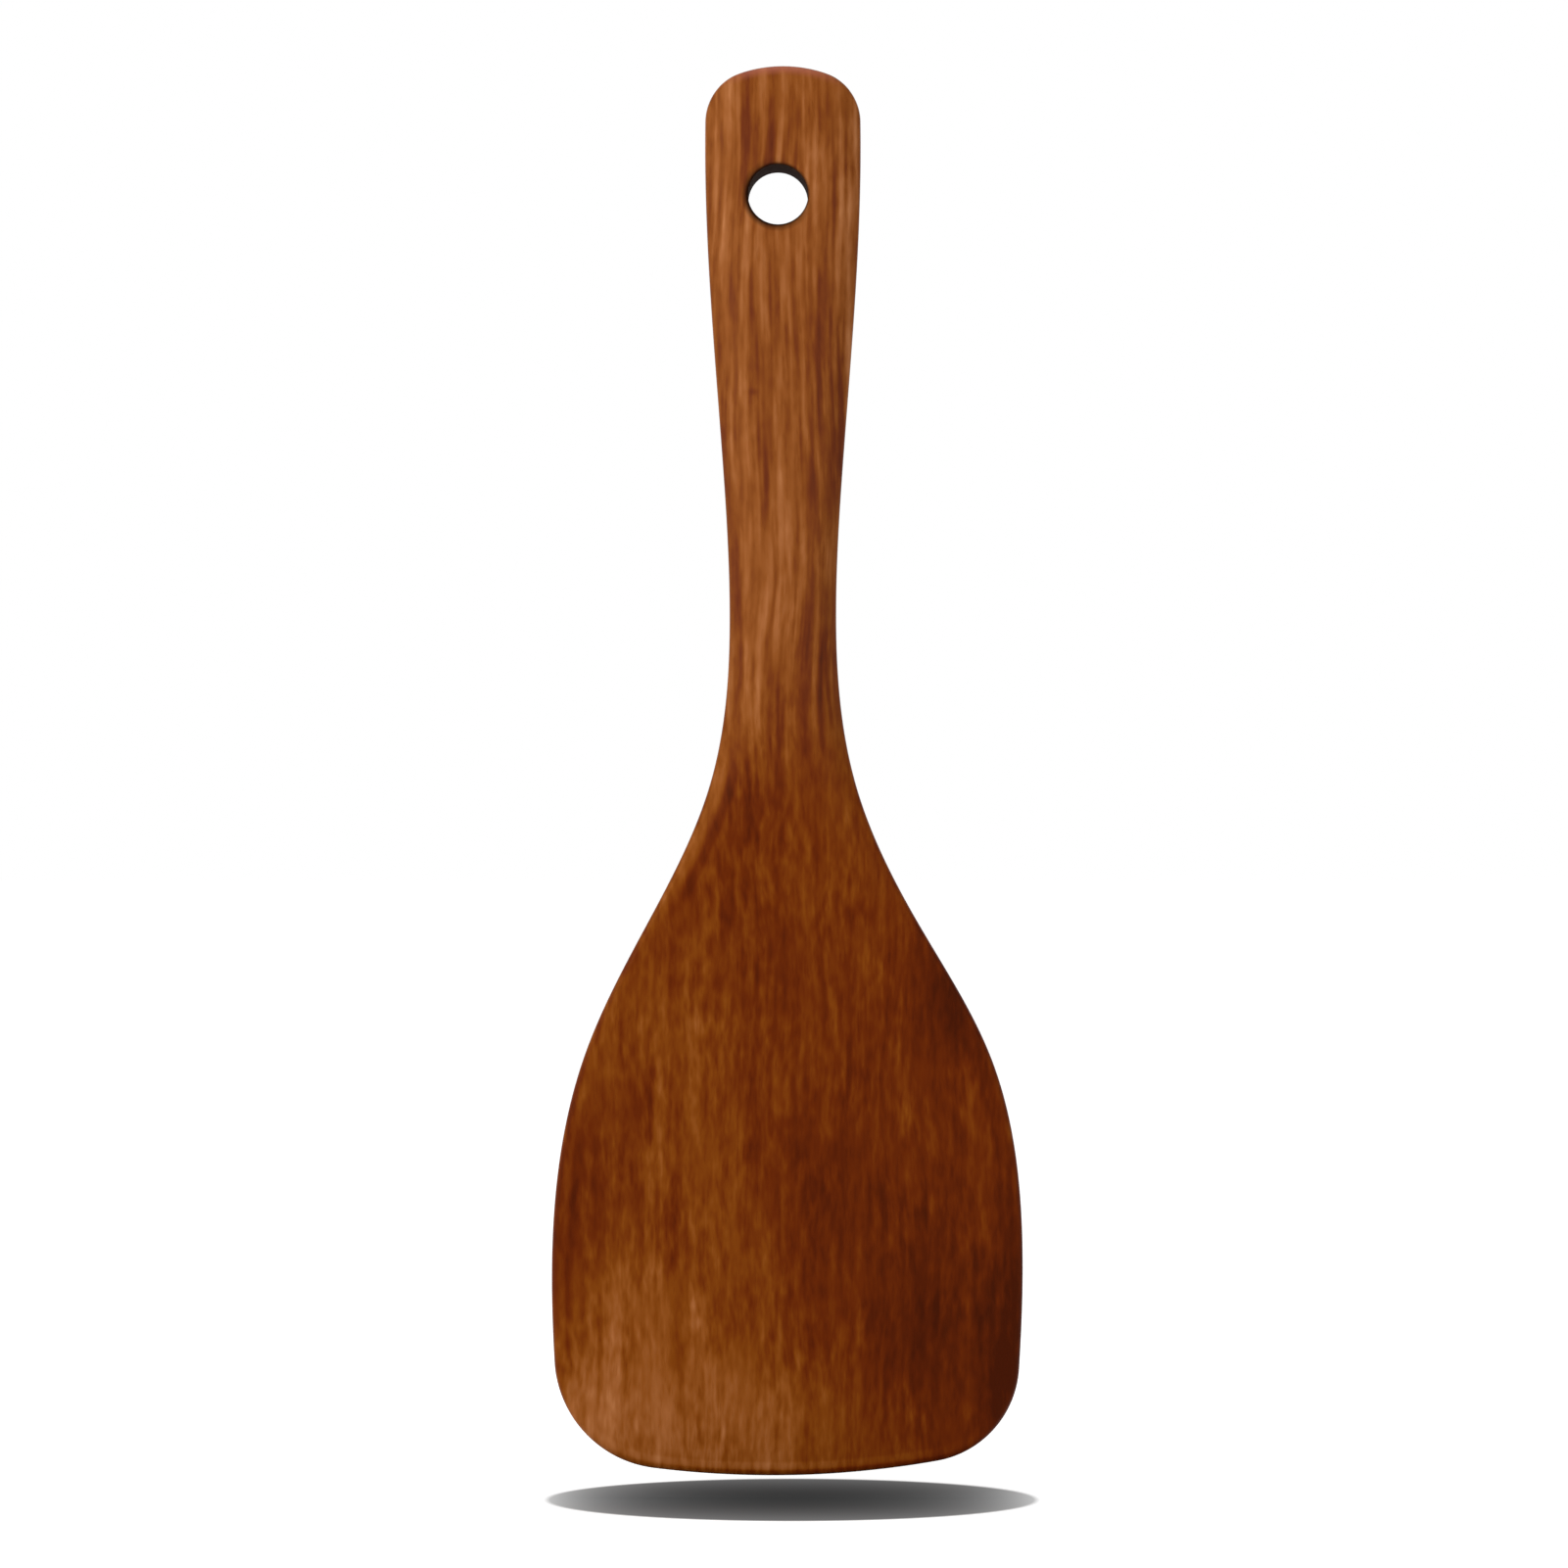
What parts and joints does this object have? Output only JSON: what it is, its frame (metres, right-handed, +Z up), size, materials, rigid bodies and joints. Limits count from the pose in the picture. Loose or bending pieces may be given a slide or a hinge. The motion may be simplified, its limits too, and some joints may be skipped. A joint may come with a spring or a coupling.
{
  "type": "rice paddle",
  "caption": "Carved wooden rice paddle in one piece: a rounded handle with a hanging hole, a slim neck, and a wide thin blade with a shallow hollow.",
  "frame": {"origin": "middle of the hanging hole, half way through the handle", "axes": "+Z up along the handle towards its rounded end, with the blade below; +Y backwards through the hanging hole, so the serving face looks towards -Y; +X to the right of someone who faces the serving face"},
  "size_m": [0.0687, 0.0102, 0.2045],
  "materials": {
    "wood": "satin lacquer"
  },
  "bodies": {
    "root": {"paddle": "wood"}
  },
  "joints": []
}
